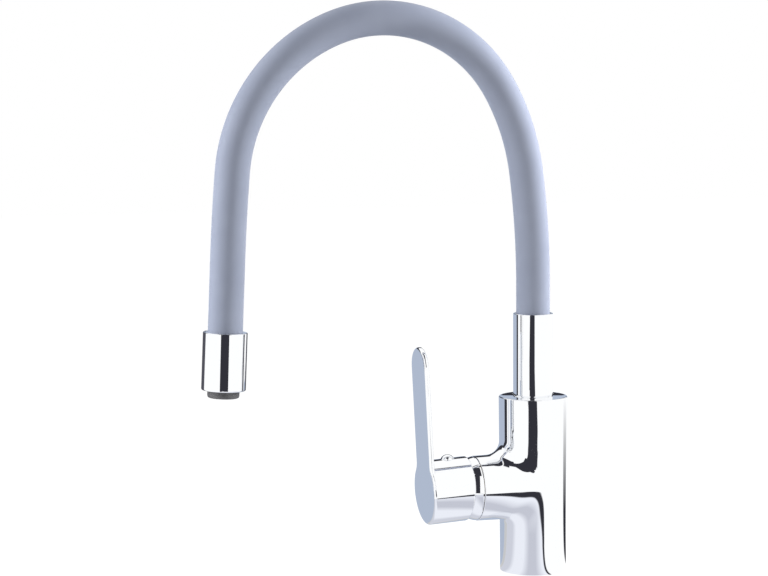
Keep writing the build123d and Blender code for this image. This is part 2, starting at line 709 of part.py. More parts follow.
def spout_retaining_screw():
    tip_x = RETAINER_GROOVE_FLOOR + SOFT_GAP
    shoulder = tip_x + RETAINER_TIP_LENGTH
    screw = grub_screw((shoulder, 0, RETAINER_Z), (1, 0, 0))
    return screw + rod(RETAINER_TIP_R, (tip_x, 0, RETAINER_Z), (shoulder + 0.5, 0, RETAINER_Z))


# Flexible spout layers

def silicone_sleeve():
    return hose_layer(HOSE_R, HOSE_BORE_R, 0, 0)


def gooseneck_liner():
    return hose_layer(GOOSENECK_R, GOOSENECK_BORE_R, FERRULE_LENGTH + 2, FERRULE_LENGTH + 2)


def water_hose():
    return hose_layer(WATER_HOSE_R, WATER_HOSE_BORE_R, 0, 0)


def base_ferrule():
    inner = WATER_HOSE_R + STATIC_GAP
    top = HOSE_FOOT + FERRULE_LENGTH
    return turned([(inner, HOSE_FOOT), (FERRULE_R, HOSE_FOOT), (FERRULE_R, top), (inner, top)])


# Outlet, built downwards from the cup's top rim and set on the drop's axis

def outlet_ferrule():
    inner = WATER_HOSE_R + SOFT_GAP
    top, foot = -HOSE_IN_CUP + FERRULE_LENGTH, -HOSE_IN_CUP
    return CUP_PLANE * turned([(inner, foot), (FERRULE_R, foot), (FERRULE_R, top), (inner, top)])


def outlet_cup():
    bore = CUP_R - CUP_WALL
    cup = turned([
        (CUP_LIP_R, 0),
        (CUP_R, 0),
        (CUP_R, -CUP_LENGTH),
        (AERATOR_R + 2 * SOFT_GAP, -CUP_LENGTH),
        (AERATOR_R + 2 * SOFT_GAP, -CUP_LENGTH + CUP_WALL),
        (bore, -CUP_LENGTH + CUP_WALL),
        (bore, -CUP_LIP_HEIGHT),
        (CUP_LIP_R, -CUP_LIP_HEIGHT),
    ])
    foot_rim = cup.edges().group_by(Axis.Z)[0].sort_by(SortBy.LENGTH)[-1]
    cup = fillet(foot_rim, CUP_EDGE)
    top_rim = cup.edges().group_by(Axis.Z)[-1].sort_by(SortBy.LENGTH)[-1]
    cup = fillet(top_rim, SLEEVE_EDGE)
    return CUP_PLANE * cup


def outlet_nipple():
    outer = CUP_R - CUP_WALL - THREAD_GAP
    inner = AERATOR_R + THREAD_GAP
    barb_top = -OUTLET_FLANGE_TOP + OUTLET_BARB_LENGTH
    barb = barbed_tail(-OUTLET_FLANGE_TOP, OUTLET_BARB_LENGTH)
    corners = [
        (NIPPLE_BORE_R, barb_top),
        (NIPPLE_BORE_R, -OUTLET_FLANGE_BOTTOM),
        (inner, -OUTLET_FLANGE_BOTTOM),
        (inner, -CUP_LENGTH + CUP_WALL + STATIC_GAP),
        (outer, -CUP_LENGTH + CUP_WALL + STATIC_GAP),
        (outer, -OUTLET_FLANGE_TOP),
    ]
    return CUP_PLANE * turned(corners + barb)


def aerator_gasket():
    top = -AERATOR_TOP + AERATOR_GASKET_THICKNESS
    inner, outer = AERATOR_BORE_R - 1, AERATOR_R - STATIC_GAP
    return CUP_PLANE * turned([(inner, -AERATOR_TOP), (outer, -AERATOR_TOP), (outer, top), (inner, top)])


AERATOR_FOOT = -CUP_LENGTH - AERATOR_PROUD


def aerator_housing():
    """Plastic shell that screws into the outlet, with a ledge inside its mouth that holds the mesh."""
    ledge_z = AERATOR_FOOT + MESH_RECESS
    shell = turned([
        (AERATOR_BORE_R, -AERATOR_TOP),
        (AERATOR_R, -AERATOR_TOP),
        (AERATOR_R, AERATOR_FOOT),
        (AERATOR_BORE_R - AERATOR_LEDGE, AERATOR_FOOT),
        (AERATOR_BORE_R - AERATOR_LEDGE, ledge_z),
        (AERATOR_BORE_R, ledge_z),
    ])
    foot_rim = shell.edges().group_by(Axis.Z)[0].sort_by(SortBy.LENGTH)[-1]
    return CUP_PLANE * fillet(foot_rim, AERATOR_EDGE)


def aerator_insert():
    """Honeycomb of hexagonal cells that straightens the stream."""
    foot = AERATOR_FOOT + MESH_RECESS + STATIC_GAP
    plate = Circle(AERATOR_BORE_R - STATIC_GAP)
    pitch = MESH_CELL + MESH_WALL
    row_height = pitch * sqrt(3) / 2
    cell = RegularPolygon(MESH_CELL / 2, 6, major_radius=False, rotation=30)
    reach = AERATOR_BORE_R - AERATOR_LEDGE - MESH_CELL / 2
    cells = []
    for row in range(-MESH_RINGS, MESH_RINGS + 1):
        for column in range(-MESH_RINGS, MESH_RINGS + 1):
            x = (column + 0.5 * (row % 2)) * pitch
            y = row * row_height
            if sqrt(x * x + y * y) < reach:
                cells.append(Pos(x, y) * cell)
    plate = plate - cells
    return CUP_PLANE * (Pos(0, 0, foot) * extrude(plate, MESH_THICKNESS))


# Assembly

NODES = {
    "body_casting": body_casting,
    "base_o_ring": base_o_ring,
    "fixing_stud": fixing_stud,
    "stud_nut": stud_nut,
    "cartridge_base": cartridge_base,
    "port_seals": port_seals,
    "fixed_disc": fixed_disc,
    "moving_disc": moving_disc,
    "disc_carrier": disc_carrier,
    "cartridge_housing": cartridge_housing,
    "stem_carrier": stem_carrier,
    "stem_pivot_pin": stem_pivot_pin,
    "cartridge_stem": cartridge_stem,
    "cartridge_nut": cartridge_nut,
    "bonnet_ring": bonnet_ring,
    "lever_handle": lever_handle,
    "handle_grub_screw": handle_grub_screw,
    "index_plug": index_plug,
    "slip_ring": slip_ring,
    "spout_sleeve": spout_sleeve,
    "spout_nipple": spout_nipple,
    "spout_o_rings": spout_o_rings,
    "spout_retaining_screw": spout_retaining_screw,
    "silicone_sleeve": silicone_sleeve,
    "gooseneck_liner": gooseneck_liner,
    "water_hose": water_hose,
    "base_ferrule": base_ferrule,
    "outlet_ferrule": outlet_ferrule,
    "outlet_cup": outlet_cup,
    "outlet_nipple": outlet_nipple,
    "aerator_gasket": aerator_gasket,
    "aerator_housing": aerator_housing,
    "aerator_insert": aerator_insert,
}

for node, make in NODES.items():
    save(make(), node)

plate_top = -DECK_THICKNESS - GASKET_THICKNESS
save(horseshoe(GASKET_R, GASKET_THICKNESS, -DECK_THICKNESS), "horseshoe_gasket")
save(horseshoe(PLATE_R, PLATE_THICKNESS, plate_top), "horseshoe_plate")
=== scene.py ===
import logging
import math
from dataclasses import dataclass
from enum import Enum
from typing import Iterator

import bmesh
import bpy
import numpy as np
from mathutils import Matrix, Vector


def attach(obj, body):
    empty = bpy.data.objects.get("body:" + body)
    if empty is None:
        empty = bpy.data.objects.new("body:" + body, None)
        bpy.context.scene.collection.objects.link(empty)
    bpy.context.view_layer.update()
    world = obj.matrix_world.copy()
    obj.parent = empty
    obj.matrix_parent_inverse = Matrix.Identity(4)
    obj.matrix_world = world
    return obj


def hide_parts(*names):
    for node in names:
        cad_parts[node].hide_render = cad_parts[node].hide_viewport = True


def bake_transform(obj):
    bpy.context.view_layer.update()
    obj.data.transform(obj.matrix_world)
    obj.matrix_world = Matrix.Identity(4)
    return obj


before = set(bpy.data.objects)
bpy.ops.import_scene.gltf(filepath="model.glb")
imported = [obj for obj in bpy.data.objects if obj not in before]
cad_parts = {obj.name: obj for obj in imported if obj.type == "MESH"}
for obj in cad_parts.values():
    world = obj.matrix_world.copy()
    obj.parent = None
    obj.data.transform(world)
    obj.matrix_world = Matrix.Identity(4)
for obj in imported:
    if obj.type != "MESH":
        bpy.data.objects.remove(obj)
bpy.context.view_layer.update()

LOG = logging.getLogger("tap")
MM = 0.001
SIDEWAYS = (0.0, math.pi / 2, 0.0)

# Places closer than this are merged, and smaller divisors are raised to it.
TINY = 1e-6

# Nearly all of a noise lies between these values.
NOISE_RANGE = (0.3, 0.7)

Socket = bpy.types.NodeSocket
Colour = tuple[float, float, float]
Point = tuple[float, float, float]
Span = tuple[float, float]

# A band is its two limits and its softness, and a ramp two limits and what they map to.
Band = tuple[float, float, float]
Ramp = tuple[float, float, float, float]


class Carrier(Enum):
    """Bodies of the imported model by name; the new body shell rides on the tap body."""

    TAP_BODY = "tap_body"
    SPOUT = "spout"
    OUTLET = "outlet"


class Slot(Enum):
    """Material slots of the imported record."""

    CHROME = "chrome_plate"
    SILICONE = "silicone"
    BRASS = "brass"
    STEEL = "steel"
    SEAL = "rubber_seal"
    CERAMIC = "ceramic"
    CARTRIDGE = "cartridge_plastic"
    AERATOR = "aerator_plastic"
    HOSE = "hose_plastic"


# Shader building


class ShaderSheet:
    """A node tree that is being written, with short ways to add and join its nodes."""

    def __init__(self, tree: bpy.types.NodeTree) -> None:
        """Start from an empty tree.

        Args:
            tree: Node tree of a material or of the world.
        """
        self.tree = tree
        self.tree.nodes.clear()

    def add(self, kind: str, **settings: object) -> bpy.types.Node:
        """Add a node.

        Args:
            kind: Node type name without its "ShaderNode" prefix.
            **settings: Properties to set on the node.

        Returns:
            The new node.
        """
        node = self.tree.nodes.new("ShaderNode" + kind)
        for name, value in settings.items():
            setattr(node, name, value)
        return node

    def feed(self, value: object, target: Socket) -> None:
        """Give an input socket a link or a constant.

        Args:
            value: Output socket, number or colour.
            target: Input socket.
        """
        if isinstance(value, Socket):
            self.tree.links.new(value, target)
        else:
            target.default_value = (*value, 1.0) if isinstance(value, tuple) else value

    def result(self, operation: str, *values: object) -> Socket:
        """Work out a value with a Math node.

        Args:
            operation: Operation name of the Math node.
            *values: Sockets or numbers, in order.

        Returns:
            The result's socket.
        """
        node = self.add("Math", operation=operation)
        for place, value in enumerate(values):
            self.feed(value, node.inputs[place])
        return node.outputs[0]

    def product(self, first: object, second: object) -> Socket:
        """Multiply two values."""
        return self.result("MULTIPLY", first, second)

    def highest(self, first: object, second: object) -> Socket:
        """Take the larger of two values."""
        return self.result("MAXIMUM", first, second)

    def length(self, first: object, second: object) -> Socket:
        """Length of the hypotenuse over two sides."""
        squares = (self.product(first, first), self.product(second, second))
        return self.result("SQRT", self.result("ADD", *squares))

    def between(self, value: object, low: float, high: float, soft: float) -> Socket:
        """One where a value lies between two limits and zero elsewhere, with soft edges.

        Args:
            value: Socket of the value.
            low: Lower limit.
            high: Upper limit.
            soft: Half the width of each edge.

        Returns:
            Socket of the mask.
        """
        rising = self.span(value, low - soft, low + soft, 0.0, 1.0)
        falling = self.span(value, high - soft, high + soft, 1.0, 0.0)
        return self.product(rising, falling)

    def span(self, value: object, low: float, high: float, start: float, end: float) -> Socket:
        """Map a range of a value to another range, with clamped ends.

        Args:
            value: Socket of the value.
            low: Value that gives start.
            high: Value that gives end.
            start: Result at low.
            end: Result at high.

        Returns:
            Socket of the mapped value.
        """
        node = self.add("MapRange")
        for place, entry in enumerate((value, low, high, start, end)):
            self.feed(entry, node.inputs[place])
        return node.outputs[0]

    def line(self, value: object, ramps: tuple[Ramp, ...]) -> Socket:
        """Add up the ramps of a bent line.

        Args:
            value: Socket of the value along the line.
            ramps: Range of the value and what it maps to, for each stretch.

        Returns:
            Socket of the line's place.
        """
        total = self.span(value, *ramps[0])
        for ramp in ramps[1:]:
            total = self.result("ADD", total, self.span(value, *ramp))
        return total

    def blend(self, mask: object, first: object, second: object) -> Socket:
        """Mix two colours.

        Args:
            mask: Share of the second colour.
            first: Colour or socket at zero.
            second: Colour or socket at one.

        Returns:
            Socket of the mixed colour.
        """
        node = self.add("Mix", data_type="RGBA")
        for place, entry in ((0, mask), (6, first), (7, second)):
            self.feed(entry, node.inputs[place])
        return node.outputs[2]

    def choose(self, mask: object, first: Socket, second: Socket) -> Socket:
        """Mix two shaders.

        Args:
            mask: Share of the second shader.
            first: Shader at zero.
            second: Shader at one.

        Returns:
            Socket of the mixed shader.
        """
        node = self.add("MixShader")
        for place, entry in enumerate((mask, first, second)):
            self.feed(entry, node.inputs[place])
        return node.outputs[0]

    def light(self, kind: str, colour: object, strength: float = 1.0) -> Socket:
        """Add a shader that gives light.

        Args:
            kind: Emission for a surface, Background for the world.
            colour: Colour or socket.
            strength: Strength of the light.

        Returns:
            Socket of the shader.
        """
        node = self.add(kind)
        self.feed(colour, node.inputs[0])
        self.feed(strength, node.inputs[1])
        return node.outputs[0]

    def mirrored(self) -> Socket:
        """One for the rays that polished or clear pieces send out, which show the tent."""
        path = self.add("LightPath")
        return self.highest(path.outputs["Is Glossy Ray"], path.outputs["Is Transmission Ray"])

    def noise(self, vector: Socket, scale: float, detail: float = 2.0) -> Socket:
        """Add a noise.

        Args:
            vector: Socket of the coordinates.
            scale: Size of its pattern, as repeats in a metre.
            detail: Number of finer layers.

        Returns:
            Socket of its value.
        """
        node = self.add("TexNoise")
        self.feed(scale, node.inputs["Scale"])
        self.feed(detail, node.inputs["Detail"])
        self.feed(vector, node.inputs["Vector"])
        return node.outputs[0]

    def coat(
        self,
        colour: object,
        metallic: float,
        roughness: Socket,
        height: Socket,
        strength: float,
        depth: float,
    ) -> bpy.types.Node:
        """Add the surface of a solid finish with its relief, and join it to the output.

        Args:
            colour: Colour or socket.
            metallic: One for metal and zero for the rest.
            roughness: Socket of the roughness.
            height: Socket of the relief's height.
            strength: Strength of the relief.
            depth: Depth of the relief in metres.

        Returns:
            The surface's node.
        """
        bump = self.add("Bump")
        self.feed(strength, bump.inputs["Strength"])
        self.feed(depth, bump.inputs["Distance"])
        self.feed(height, bump.inputs["Height"])
        surface = self.add("BsdfPrincipled")
        self.feed(metallic, surface.inputs["Metallic"])
        self.feed(colour, surface.inputs["Base Color"])
        self.feed(roughness, surface.inputs["Roughness"])
        self.feed(bump.outputs[0], surface.inputs["Normal"])
        self.feed(surface.outputs[0], self.add("OutputMaterial").inputs[0])
        return surface


def new_material(name: str) -> tuple[bpy.types.Material, ShaderSheet]:
    """Make a material.

    Args:
        name: Name of the material.

    Returns:
        The material and its empty sheet.
    """
    made = bpy.data.materials.new(name)
    made.use_nodes = True
    return made, ShaderSheet(made.node_tree)


# Finishes


@dataclass(frozen=True)
class ChromePlate:
    """Polished chrome plating over a ground casting."""

    name: str = "polished_chrome"
    colour: Colour = (0.90, 0.91, 0.925)
    smoothest: float = 0.015
    roughest: float = 0.05
    haze_scale: float = 60.0
    haze_detail: float = 5.0
    haze_range: Span = (0.35, 0.7)
    ripple_scale: float = 22.0
    ripple: float = 0.006
    ripple_depth: float = 0.001

    def material(self) -> bpy.types.Material:
        """Build the chrome material.

        Returns:
            Material with a faint polishing haze and a very slight ripple.
        """
        made, sheet = new_material(self.name)
        place = sheet.add("TexCoord").outputs["Object"]
        haze = sheet.noise(place, self.haze_scale, self.haze_detail)
        rough = sheet.span(haze, *self.haze_range, self.smoothest, self.roughest)
        wave = sheet.noise(place, self.ripple_scale)
        sheet.coat(self.colour, 1.0, rough, wave, self.ripple, self.ripple_depth)
        return made


@dataclass(frozen=True)
class SiliconeSkin:
    """Matte moulded silicone."""

    name: str = "matte_silicone"
    colour: Colour = (0.312, 0.344, 0.440)
    shade: Colour = (0.285, 0.316, 0.410)
    roughness: float = 0.52
    spread: float = 0.04
    specular: float = 0.4
    cloud_scale: float = 35.0
    cloud_detail: float = 4.0
    grain_scale: float = 2600.0
    grain_detail: float = 3.0
    grain: float = 0.02
    grain_depth: float = 0.0002

    def material(self) -> bpy.types.Material:
        """Build the silicone material.

        Returns:
            Material with a soft mottle, uneven sheen and a fine moulded grain.
        """
        made, sheet = new_material(self.name)
        place = sheet.add("TexCoord").outputs["Object"]
        cloud = sheet.noise(place, self.cloud_scale, self.cloud_detail)
        mottle = sheet.span(cloud, *NOISE_RANGE, 0.0, 1.0)
        colour = sheet.blend(mottle, self.colour, self.shade)
        low, high = self.roughness - self.spread, self.roughness + self.spread
        rough = sheet.span(cloud, *NOISE_RANGE, low, high)
        grain = sheet.noise(place, self.grain_scale, self.grain_detail)
        surface = sheet.coat(colour, 0.0, rough, grain, self.grain, self.grain_depth)
        sheet.feed(self.specular, surface.inputs["Specular IOR Level"])
        return made


@dataclass(frozen=True)
class PlainFinish:
    """A moulded, machined or lapped finish with its own grain."""

    name: str
    colour: Colour
    second: Colour
    metallic: float
    roughness: float
    spread: float = 0.08
    scale: float = 180.0
    detail: float = 4.0
    relief: float = 0.15
    relief_depth: float = 0.0002

    def material(self) -> bpy.types.Material:
        """Build the material.

        Returns:
            Material whose colour, gloss and relief follow one noise.
        """
        made, sheet = new_material(self.name)
        place = sheet.add("TexCoord").outputs["Object"]
        grain = sheet.noise(place, self.scale, self.detail)
        share = sheet.span(grain, *NOISE_RANGE, 0.0, 1.0)
        colour = sheet.blend(share, self.colour, self.second)
        low, high = self.roughness - self.spread, self.roughness + self.spread
        rough = sheet.span(grain, *NOISE_RANGE, low, high)
        sheet.coat(colour, self.metallic, rough, grain, self.relief, self.relief_depth)
        return made


# Bench work


def deselect() -> None:
    """Leave edit mode and deselect every object."""
    if bpy.context.object is not None and bpy.context.object.mode != "OBJECT":
        bpy.ops.object.mode_set(mode="OBJECT")
    bpy.ops.object.select_all(action="DESELECT")


class Bench:
    """One new piece on the bench, from its primitive to its finished mesh."""

    def __init__(self, name: str) -> None:
        """Take over the primitive that was just added.

        Args:
            name: Name of the piece.
        """
        self.piece = bpy.context.object
        self.piece.name = name
        self.piece.data.name = name

    def take_up(self) -> None:
        """Select this piece alone and make it the active one."""
        deselect()
        self.piece.select_set(True)
        bpy.context.view_layer.objects.active = self.piece

    def push(self, x: float, y: float, z: float) -> None:
        """Extrude the selection and move it."""
        bpy.ops.mesh.extrude_region_move(TRANSFORM_OT_translate={"value": (x, y, z)})

    def outwards(self) -> None:
        """Merge doubles and point every face outwards."""
        bpy.ops.mesh.select_all(action="SELECT")
        bpy.ops.mesh.remove_doubles(threshold=TINY)
        bpy.ops.mesh.normals_make_consistent(inside=False)

    def modify(self, kind: str, **settings: object) -> None:
        """Add a modifier and apply it.

        Args:
            kind: Modifier type.
            **settings: Its settings.
        """
        modifier = self.piece.modifiers.new(kind.lower(), kind)
        for name, value in settings.items():
            setattr(modifier, name, value)
        bpy.ops.object.modifier_apply(modifier=modifier.name)

    def finish(self, sharp: float = 30.0) -> bpy.types.Object:
        """Return to object mode, place the mesh at the origin and shade it.

        Args:
            sharp: Angle above which an edge stays sharp, in degrees.

        Returns:
            The finished piece.
        """
        bpy.ops.object.mode_set(mode="OBJECT")
        bpy.ops.object.transform_apply(location=True, rotation=True, scale=True)
        bpy.ops.object.shade_smooth_by_angle(angle=math.radians(sharp))
        deselect()
        return self.piece


def dress(piece: bpy.types.Object, material: bpy.types.Material, slot: Slot) -> bpy.types.Object:
    """Give a piece its material.

    Args:
        piece: New piece.
        material: Its material.
        slot: Material slot in the record; not used.

    Returns:
        The same piece.
    """
    piece.data.materials.clear()
    piece.data.materials.append(material)
    return piece


# Flexible spout


@dataclass
class FlexibleSpout:
    """Silicone sleeve with the bendable liner and the water hose in it.

    Lengths are millimetres and each wall is its outer radius and its bore. The arcs follow
    each other from the riser's top to the drop, with their turns in degrees.
    """

    sleeve: Span = (12.7, 9.3)
    liner: Span = (9.0, 7.4)
    hose: Span = (7.0, 5.0)
    liner_inset: float = 14.0
    foot: float = 146.0
    riser_top: float = 216.5
    radii: tuple[float, ...] = (669.2, 168.6, 104.2, 122.3, 1500.0)
    turns: tuple[float, ...] = (7.39, 22.77, 80.69, 64.1, 2.43)
    drop: float = 64.2
    step: float = 3.0
    sides: int = 96
    fewest_steps: int = 3
    hinge_near: Point = (-0.030, 0.0, 0.40)
    hinge_far: Point = (-0.205, 0.0, 0.40)

    def build(
        self, silicone: bpy.types.Material, plastic: bpy.types.Material
    ) -> Iterator[bpy.types.Object]:
        """Build the three layers.

        Args:
            silicone: Material of the sleeve.
            plastic: Material of the liner and the hose.

        Yields:
            Each finished layer.
        """
        layers = (
            ("silicone_spout", "silicone_sleeve", self.sleeve, 0.0, silicone, Slot.SILICONE),
            ("spout_liner", "gooseneck_liner", self.liner, self.liner_inset, plastic, Slot.HOSE),
            ("spout_hose", "water_hose", self.hose, 0.0, plastic, Slot.HOSE),
        )
        for name, node, wall, inset, material, slot in layers:
            piece = self.tube(name, *wall, inset)
            dress(piece, material, slot)
            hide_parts(node)
            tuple(self.hinge_near)
            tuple(self.hinge_far)
            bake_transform(piece)
            yield piece

    def tube(self, name: str, outer: float, bore: float, inset: float) -> bpy.types.Object:
        """Raise one tubular layer: extruded riser, spun arcs and extruded drop.

        Args:
            name: Name of the piece.
            outer: Outer radius.
            bore: Bore radius.
            inset: Length left out at each end.

        Returns:
            The layer with its wall.
        """
        deselect()
        start = self.foot + inset
        bpy.ops.mesh.primitive_circle_add(
            vertices=self.sides, radius=outer * MM, location=(0.0, 0.0, start * MM)
        )
        bench = Bench(name)
        bpy.ops.object.transform_apply(location=True)
        bpy.ops.object.mode_set(mode="EDIT")
        bpy.ops.mesh.select_all(action="SELECT")
        self.straight(bench, Vector((0.0, 0.0, 1.0)), self.riser_top - start)
        place, heading = Vector((0.0, 0.0, self.riser_top)), 0.0
        for radius, turn in zip(self.radii, self.turns):
            place, heading = self.arc(place, heading, radius, turn)
        course = Vector((-math.sin(heading), 0.0, math.cos(heading)))
        self.straight(bench, course, self.drop - inset)
        bench.outwards()
        bpy.ops.object.mode_set(mode="OBJECT")
        bench.modify("SOLIDIFY", thickness=(outer - bore) * MM, offset=-1.0, use_even_offset=True)
        return bench.finish()

    def straight(self, bench: Bench, course: Vector, length: float) -> None:
        """Extrude the open ring along a straight course.

        Args:
            bench: Bench with the ring selected.
            course: Unit direction.
            length: Length of the run.
        """
        rings = max(1, round(length / self.step))
        for _ in range(rings):
            bench.push(*(course * length / rings * MM))

    def arc(self, place: Vector, heading: float, radius: float, turn: float) -> tuple[Vector, float]:
        """Spin the open ring round one arc.

        Args:
            place: Centreline point where the arc starts.
            heading: Lean of the centreline from upright, towards the outlet.
            radius: Arc's radius.
            turn: Arc's angle in degrees.

        Returns:
            Centreline point and lean at the arc's end.
        """
        inward = Vector((-math.cos(heading), 0.0, -math.sin(heading)))
        centre = place + inward * radius
        angle = math.radians(turn)
        bpy.ops.mesh.spin(
            steps=max(self.fewest_steps, round(radius * angle / self.step)),
            angle=angle,
            center=tuple(centre * MM),
            axis=(0.0, 1.0, 0.0),
        )
        heading += angle
        end = centre - radius * Vector((-math.cos(heading), 0.0, -math.sin(heading)))
        return end, heading


# Body


def unit(rows: np.ndarray) -> np.ndarray:
    """Rows brought to unit length."""
    return rows / np.maximum(np.linalg.norm(rows, axis=1), TINY)[:, None]


def places_of(mesh: bpy.types.Mesh) -> np.ndarray:
    """Places of a mesh's vertices in millimetres, one row each."""
    places = np.empty(len(mesh.vertices) * 3)
    mesh.vertices.foreach_get("co", places)
    return places.reshape(-1, 3) / MM


@dataclass
class BodyShell:
    """Chrome outside of the casting, with a soft blend between the upright and the branch.

    Lengths are millimetres. The upright grows from base_radius to top_radius, and the branch
    narrows by branch_taper between the upright's axis and its mouth.
    """

    # Plain forms, rims and blend
    base_radius: float = 25.0
    top_radius: float = 26.0
    height: float = 133.0
    top_edge: float = 0.8
    branch_height: float = 65.0
    branch_root: float = 25.199
    branch_taper: float = 0.8
    branch_end: float = 47.5
    back_fade: float = 10.0
    mouth_edge: float = 0.7
    blend_above: float = 11.0
    blend_below: float = 2.0
    most_alike: float = 0.9995

    # Hole of the keeper screw
    screw_height: float = 120.0
    screw_radius: float = 2.55
    screw_depth: float = 10.0
    screw_sides: int = 48

    # Rough mesh and its way onto the form
    sides: int = 192
    cell: float = 1.0
    spare: float = 6.0
    smoothings: int = 3
    smooth_steps: int = 4
    settle_steps: int = 6
    longest_move: float = 1.5
    least_slope: float = 0.2
    probe: float = 0.02

    # Tests that sort the shell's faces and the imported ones
    skin: float = 0.4
    inner_skin: float = 0.25
    facing_out: float = 0.5
    rim_slack: float = 0.05

    # Shading
    sharp: float = 35.0
    soften_rounds: int = 110
    soften_reach: float = 12.0
    soften_share: float = 0.6
    soften_least: float = 0.03
    soften_from: float = 0.2
    soften_over: float = 0.4
    on_form: float = 0.06
    agreeing: float = 0.75

    def build(self, chrome: bpy.types.Material) -> bpy.types.Object:
        """Build the body.

        Args:
            chrome: Material of the plating.

        Returns:
            The finished body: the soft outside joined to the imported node's inner faces.
        """
        bench = self.rough_shell()
        shell = bench.piece
        for _ in range(self.smoothings):
            bpy.ops.object.mode_set(mode="EDIT")
            bpy.ops.mesh.select_all(action="SELECT")
            bpy.ops.mesh.vertices_smooth(factor=0.5, repeat=self.smooth_steps)
            bpy.ops.object.mode_set(mode="OBJECT")
            self.settle(shell.data)
        self.drill(bench)
        self.trim(shell)
        inner = self.inner_faces()
        bench.take_up()
        inner.select_set(True)
        bpy.ops.object.join()
        bpy.ops.object.shade_smooth_by_angle(angle=math.radians(self.sharp))
        bench.modify("WEIGHTED_NORMAL", weight=100, keep_sharp=True)
        self.shade(shell.data)
        deselect()
        dress(shell, chrome, Slot.CHROME)
        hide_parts("body_casting")
        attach(shell, Carrier.TAP_BODY.value)
        return shell

    def rough_shell(self) -> Bench:
        """Unite two cylinders and even out their mesh.

        Returns:
            Bench with a closed mesh a little longer than the body at each end.
        """
        deselect()
        length = self.branch_end + self.spare
        bpy.ops.mesh.primitive_cylinder_add(
            vertices=self.sides,
            radius=self.branch_root * MM,
            depth=length * MM,
            location=(-length / 2 * MM, 0.0, self.branch_height * MM),
            rotation=SIDEWAYS,
        )
        branch = bpy.context.object
        deselect()
        bpy.ops.mesh.primitive_cylinder_add(
            vertices=self.sides,
            radius=self.top_radius * MM,
            depth=(self.height + 2 * self.spare) * MM,
            location=(0.0, 0.0, self.height / 2 * MM),
        )
        bench = Bench("tap_casting")
        bpy.ops.object.transform_apply(location=True, rotation=True, scale=True)
        bench.modify("BOOLEAN", operation="UNION", object=branch, solver="EXACT")
        bench.modify("REMESH", mode="VOXEL", voxel_size=self.cell * MM)
        bpy.data.objects.remove(branch)
        return bench

    def forms(self, points: np.ndarray) -> tuple[np.ndarray, np.ndarray, np.ndarray]:
        """Distances outside the two plain forms of the casting.

        Args:
            points: Places in millimetres, one row each.

        Returns:
            Distance outside the upright, distance outside the branch, and how alike the two face.
        """
        x, y, z = points.T
        upright_reach = np.hypot(x, y)
        branch_reach = np.hypot(y, z - self.branch_height)
        growth = (self.top_radius - self.base_radius) * z / self.height
        upright = upright_reach - self.base_radius - growth
        branch_radius = self.branch_root + self.branch_taper * np.minimum(x, 0.0) / self.branch_end
        branch = branch_reach - branch_radius + np.maximum(x, 0.0) ** 2 / self.back_fade
        alike = y * y / np.maximum(upright_reach * branch_reach, TINY)
        return upright, branch, np.clip(alike, 0.0, self.most_alike)

    def depth(self, points: np.ndarray) -> np.ndarray:
        """Distance outside the blended form, negative inside.

        The blend is the path of a ball that rolls in the corner between the two forms.

        Args:
            points: Places in millimetres, one row each.

        Returns:
            One distance for each place.
        """
        upright, branch, alike = self.forms(points)
        share = (points[:, 2] - self.branch_height) / self.branch_root * 0.5 + 0.5
        share = np.clip(share, 0.0, 1.0)
        share = share * share * (3.0 - 2.0 * share)
        radius = self.blend_below + (self.blend_above - self.blend_below) * share
        first, second = radius - upright, radius - branch
        inside = (first - alike * second > 0.0) & (second - alike * first > 0.0)
        inside &= (first > 0.0) & (second > 0.0)
        squares = first * first + second * second - 2.0 * alike * first * second
        reach = np.sqrt(np.maximum(squares, 0.0) / (1.0 - alike * alike))
        return np.where(inside, radius - reach, np.minimum(upright, branch))

    def slope(self, points: np.ndarray) -> np.ndarray:
        """Direction in which the distance grows fastest at each place."""
        columns = []
        for axis in np.eye(3) * self.probe:
            columns.append(self.depth(points + axis) - self.depth(points - axis))
        return np.stack(columns, axis=1) / (2.0 * self.probe)

    def settle(self, mesh: bpy.types.Mesh) -> None:
        """Move every vertex of the sides onto the blended form."""
        points = places_of(mesh)
        for _ in range(self.settle_steps):
            slope = self.slope(points)
            steepness = np.maximum((slope * slope).sum(axis=1), self.least_slope)
            move = slope * (self.depth(points) / steepness)[:, None]
            length = np.maximum(np.linalg.norm(move, axis=1), TINY)
            points = points - move * np.minimum(1.0, self.longest_move / length)[:, None]
        mesh.vertices.foreach_set("co", (points * MM).ravel())
        mesh.update()

    def drill(self, bench: Bench) -> None:
        """Open the small hole of the spout's keeper screw in the back.

        Args:
            bench: Bench with the shell.
        """
        deselect()
        bpy.ops.mesh.primitive_cylinder_add(
            vertices=self.screw_sides,
            radius=self.screw_radius * MM,
            depth=self.screw_depth * MM,
            location=(self.top_radius * MM, 0.0, self.screw_height * MM),
            rotation=SIDEWAYS,
        )
        drill = bpy.context.object
        bench.take_up()
        bench.modify("BOOLEAN", operation="DIFFERENCE", object=drill, solver="EXACT")
        bpy.data.objects.remove(drill)

